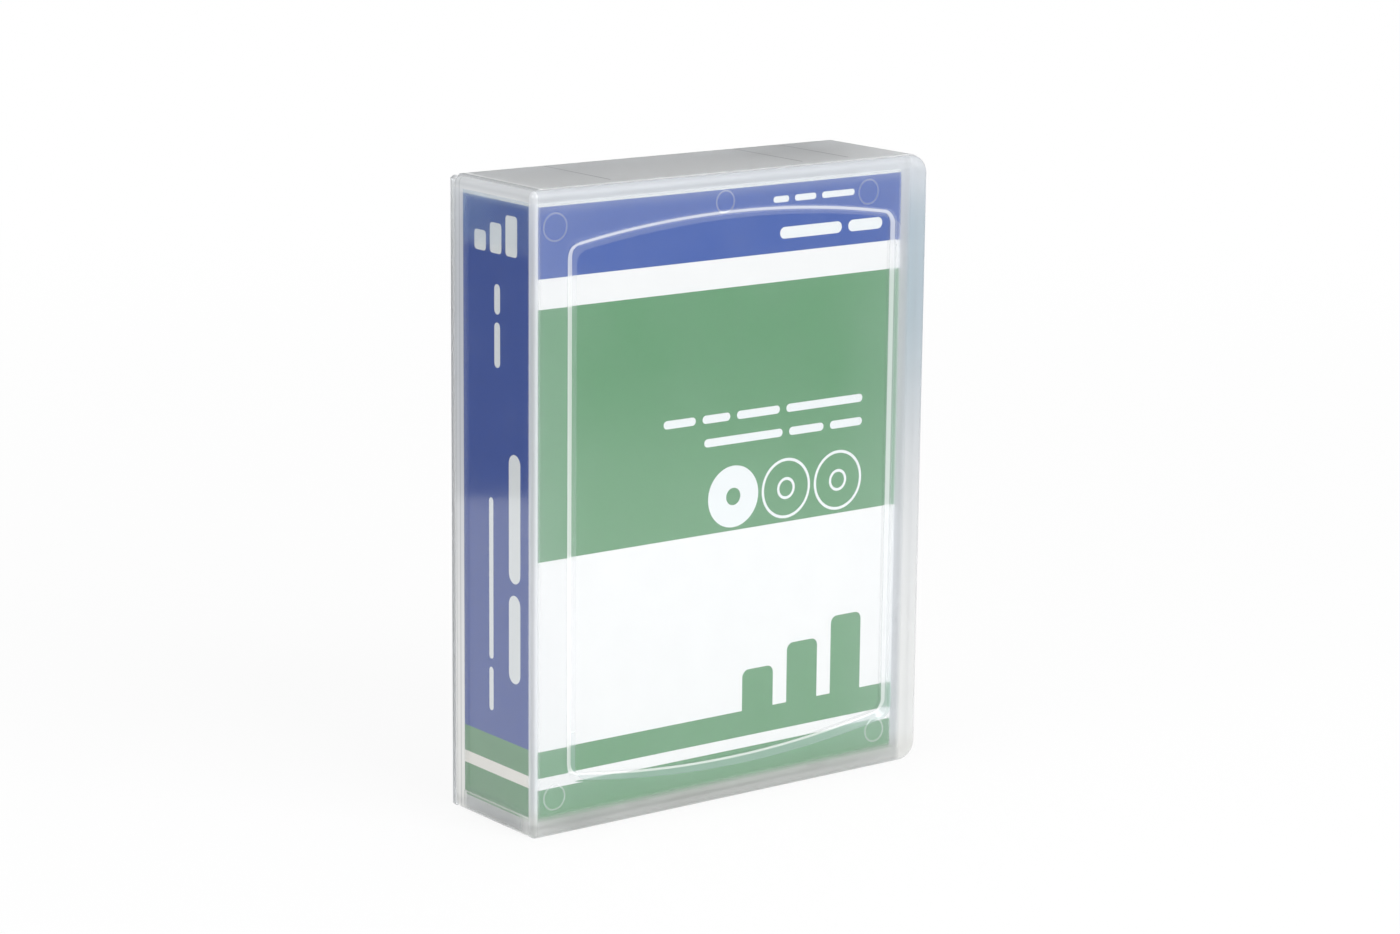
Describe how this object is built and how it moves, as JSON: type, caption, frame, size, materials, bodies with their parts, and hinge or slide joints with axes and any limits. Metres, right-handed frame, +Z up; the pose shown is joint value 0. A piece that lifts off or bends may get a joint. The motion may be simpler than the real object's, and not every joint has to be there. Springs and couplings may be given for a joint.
{
  "type": "removable disk cartridge in hinged storage case",
  "caption": "Hinged translucent storage case with a folded inlay card, holding a removable disk cartridge with its drive, disks and actuator inside.",
  "frame": {"origin": "middle of the base, on the surface that the case stands on", "axes": "+Z up along the case's height, -Y out of the front plate, -X out of the spine"},
  "size_m": [0.0992, 0.0294, 0.13],
  "materials": {
    "case_plastic": "clear to frosted moulded polypropylene",
    "printed_card": "printed coated card",
    "shell_plastic": "fine spark texture",
    "slider_plastic": "satin",
    "screw_steel": "zinc plated",
    "bumper_rubber": "matt",
    "cast_aluminium": "cast and machined",
    "lid_steel": "brushed sheet",
    "board_laminate": "solder mask",
    "plug_plastic": "moulded",
    "disk_mirror": "polished",
    "yoke_steel": "nickel plated",
    "coil_copper": "enamelled wire"
  },
  "bodies": {
    "case": {"case_tray": "case_plastic", "cartridge_front_shell": "shell_plastic", "cartridge_back_shell": "shell_plastic", "corner_bumper_lower_left": "bumper_rubber", "corner_bumper_lower_right": "bumper_rubber", "corner_bumper_upper_left": "bumper_rubber", "corner_bumper_upper_right": "bumper_rubber", "drive_base": "cast_aluminium", "drive_lid": "lid_steel", "drive_board": "board_laminate", "drive_plug": "plug_plastic", "dock_plug": "plug_plastic", "interface_board": "board_laminate", "interface_socket": "plug_plastic", "spindle_post": "screw_steel", "yoke_front": "yoke_steel", "yoke_back": "yoke_steel", "pivot_post": "screw_steel"},
    "cover": {"case_cover": "case_plastic", "inlay_card": "printed_card"},
    "slider": {"write_protect_slider": "slider_plastic"},
    "disk_pack": {"spindle_hub": "cast_aluminium", "disk_platter_1": "disk_mirror", "disk_platter_2": "disk_mirror", "platter_spacers": "cast_aluminium", "platter_clamp": "lid_steel"},
    "actuator": {"actuator_arms": "cast_aluminium", "voice_coil": "coil_copper"}
  },
  "joints": [
    {"name": "cover_hinge", "type": "hinge", "parent": "case", "child": "cover", "pos_m": [-0.04865, 0.01375, 0.065], "axis": [0, 0, -1], "range_deg": [0, 150]},
    {"name": "write_protect_slide", "type": "slide", "parent": "case", "child": "slider", "axis": [1, 0, 0], "range_m": [0, 0.004]},
    {"name": "spindle_spin", "type": "hinge", "parent": "case", "child": "disk_pack", "pos_m": [0.00103, -0.00075, 0.08382], "axis": [0, -1, 0], "continuous": true},
    {"name": "actuator_swing", "type": "hinge", "parent": "case", "child": "actuator", "pos_m": [-0.01098, -0.00075, 0.04283], "axis": [0, -1, 0], "range_deg": [0, 33]}
  ]
}
